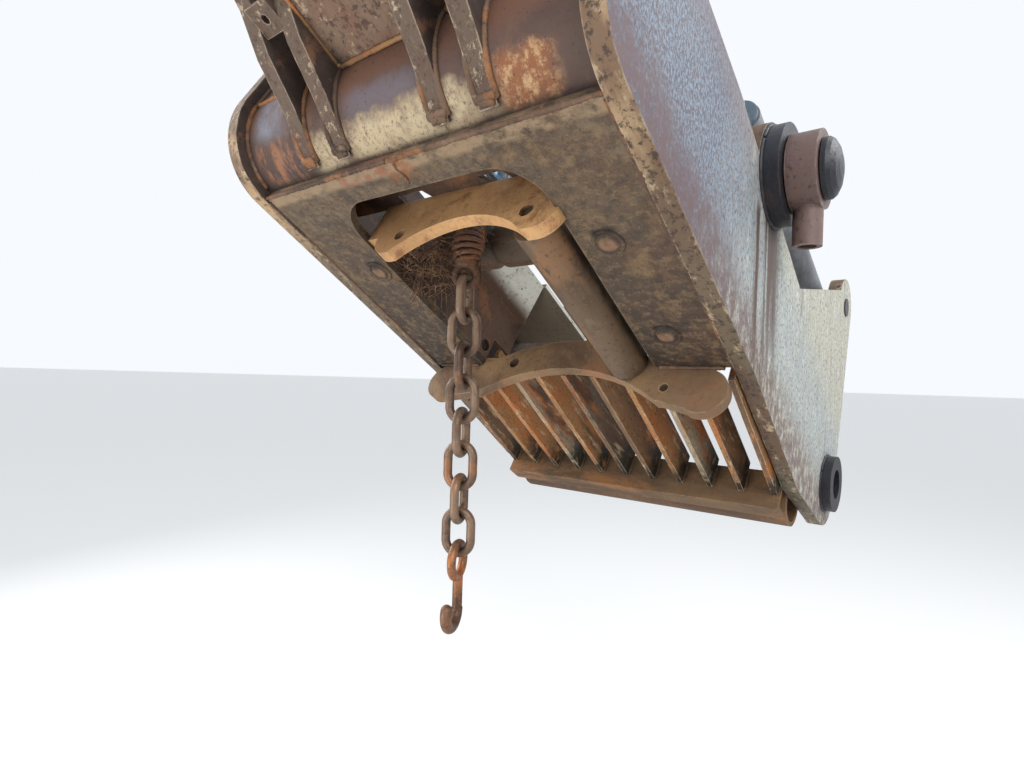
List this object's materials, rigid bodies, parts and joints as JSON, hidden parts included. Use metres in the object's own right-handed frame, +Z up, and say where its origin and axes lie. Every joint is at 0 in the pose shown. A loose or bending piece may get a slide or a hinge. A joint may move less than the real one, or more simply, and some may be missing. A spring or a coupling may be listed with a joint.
{
  "type": "skidder rear arch with winch fairlead",
  "caption": "Leaning rear arch of a grapple skidder with winch fairlead rollers, bar grille, boom clevises, boom cylinders and a hanging drag chain.",
  "frame": {"origin": "middle of the arch pivot's axis", "axes": "+X to the machine's front, +Y to its left along the pivot's axis, +Z up"},
  "size_m": [1.8835, 1.278, 1.5913],
  "materials": {
    "plate_face": "worn primer over rust",
    "rusted_plate": "rusted and worn plate",
    "worn_fairlead": "dark worn plate with orange rust",
    "guide_rust": "tan rubbed rust",
    "roller_steel": "dark oiled roller",
    "grille_rust": "mixed rust on bars",
    "flange_paint": "pale worn primer with rust",
    "boss_steel": "dark greasy steel",
    "barrel_paint": "dusty grey paint",
    "gland_steel": "blue grey paint",
    "rod_chrome": "polished rod",
    "chain_steel": "rubbed brown steel",
    "hook_steel": "rubbed steel with orange rust",
    "rope_steel": "oily frayed wire rope"
  },
  "bodies": {
    "frame": {"side_plate_right": "plate_face", "side_plate_left": "plate_face", "pivot_collars": "boss_steel", "cross_member": "rusted_plate", "end_plate": "rusted_plate", "boom_ears_right": "rusted_plate", "boom_ears_left": "rusted_plate", "ear_strap": "rusted_plate", "fairlead_plate": "worn_fairlead", "housing_walls": "rusted_plate", "housing_flanges": "flange_paint", "guide_plate_upper": "guide_rust", "guide_plate_lower": "rusted_plate", "side_roller_pin": "roller_steel", "top_roller_pin": "roller_steel", "grille_bars": "grille_rust", "grille_crossbar": "rusted_plate", "torsion_tube": "grille_rust", "lift_collars": "boss_steel", "lift_pin_right": "boss_steel", "lift_pin_left": "boss_steel", "heel_bracket_right": "plate_face", "heel_bracket_left": "plate_face", "base_pin_right": "boss_steel", "base_pin_left": "boss_steel", "winch_rope": "rope_steel", "rope_drop": "rope_steel", "rope_knot": "rope_steel"},
    "right_roller": {"side_roller_right": "roller_steel"},
    "over_roller": {"top_roller": "roller_steel"},
    "right_lift_eye": {"lift_eye_right": "boss_steel"},
    "left_lift_eye": {"lift_eye_left": "boss_steel"},
    "right_barrel": {"boom_base_right": "barrel_paint", "boom_barrel_right": "barrel_paint", "boom_gland_right": "gland_steel"},
    "left_barrel": {"boom_base_left": "barrel_paint", "boom_barrel_left": "barrel_paint", "boom_gland_left": "gland_steel"},
    "right_rod": {"boom_rod_right": "rod_chrome"},
    "left_rod": {"boom_rod_left": "rod_chrome"},
    "link_1": {"chain_link_1": "chain_steel"},
    "link_2": {"chain_link_2": "chain_steel"},
    "link_3": {"chain_link_3": "chain_steel"},
    "link_4": {"chain_link_4": "chain_steel"},
    "link_5": {"chain_link_5": "chain_steel"},
    "link_6": {"chain_link_6": "chain_steel"},
    "link_7": {"chain_link_7": "chain_steel"},
    "link_8": {"chain_link_8": "chain_steel"},
    "hook": {"chain_hook": "hook_steel"}
  },
  "joints": [
    {"name": "right_roller_turn", "type": "hinge", "parent": "frame", "child": "right_roller", "pos_m": [-0.95471, -0.204, 0.47423], "axis": [-0.8434, 0, 0.5373], "continuous": true},
    {"name": "over_roller_turn", "type": "hinge", "parent": "frame", "child": "over_roller", "pos_m": [-0.86627, 0, 0.65029], "axis": [0, 1, 0], "continuous": true},
    {"name": "right_lift_eye_swing", "type": "hinge", "parent": "frame", "child": "right_lift_eye", "pos_m": [-0.63765, -0.572, 0.76905], "axis": [0, 1, 0], "range_deg": [-60, 60]},
    {"name": "right_cylinder_swing", "type": "hinge", "parent": "frame", "child": "right_barrel", "pos_m": [0.22117, -0.39, 0.57051], "axis": [0, 1, 0], "range_deg": [-4, 12]},
    {"name": "right_cylinder_stroke", "type": "slide", "parent": "right_barrel", "child": "right_rod", "axis": [-0.9085, 0, 0.4179], "range_m": [-0.54, 0.015]},
    {"name": "left_lift_eye_swing", "type": "hinge", "parent": "frame", "child": "left_lift_eye", "pos_m": [-0.63765, 0.572, 0.76905], "axis": [0, 1, 0], "range_deg": [-60, 60]},
    {"name": "left_cylinder_swing", "type": "hinge", "parent": "frame", "child": "left_barrel", "pos_m": [0.22117, 0.39, 0.57051], "axis": [0, 1, 0], "range_deg": [-4, 12]},
    {"name": "left_cylinder_stroke", "type": "slide", "parent": "left_barrel", "child": "left_rod", "axis": [-0.9085, 0, 0.4179], "range_m": [-0.54, 0.015]},
    {"name": "link_1_swing", "type": "hinge", "parent": "frame", "child": "link_1", "pos_m": [-0.99827, 0.115, 0.5177], "axis": [-0.3843, 0.9232, 0], "range_deg": [-35, 35]},
    {"name": "link_2_swing", "type": "hinge", "parent": "link_1", "child": "link_2", "pos_m": [-0.99827, 0.115, 0.434], "axis": [0.9232, 0.3843, 0], "range_deg": [-35, 35]},
    {"name": "link_3_swing", "type": "hinge", "parent": "link_2", "child": "link_3", "pos_m": [-0.99827, 0.115, 0.3523], "axis": [0.3843, -0.9232, 0], "range_deg": [-35, 35]},
    {"name": "link_4_swing", "type": "hinge", "parent": "link_3", "child": "link_4", "pos_m": [-0.99827, 0.115, 0.2706], "axis": [-0.9232, -0.3843, 0], "range_deg": [-35, 35]},
    {"name": "link_5_swing", "type": "hinge", "parent": "link_4", "child": "link_5", "pos_m": [-0.99827, 0.115, 0.1889], "axis": [0.3843, -0.9232, 0], "range_deg": [-35, 35]},
    {"name": "link_6_swing", "type": "hinge", "parent": "link_5", "child": "link_6", "pos_m": [-0.99827, 0.115, 0.1072], "axis": [-0.9232, -0.3843, 0], "range_deg": [-35, 35]},
    {"name": "link_7_swing", "type": "hinge", "parent": "link_6", "child": "link_7", "pos_m": [-0.99827, 0.115, 0.0255], "axis": [-0.3843, 0.9232, 0], "range_deg": [-35, 35]},
    {"name": "link_8_swing", "type": "hinge", "parent": "link_7", "child": "link_8", "pos_m": [-0.99827, 0.115, -0.0562], "axis": [0.9232, 0.3843, 0], "range_deg": [-35, 35]},
    {"name": "hook_swing", "type": "hinge", "parent": "link_8", "child": "hook", "pos_m": [-0.99827, 0.115, -0.1379], "axis": [-0.3843, 0.9232, 0], "range_deg": [-35, 35]}
  ]
}
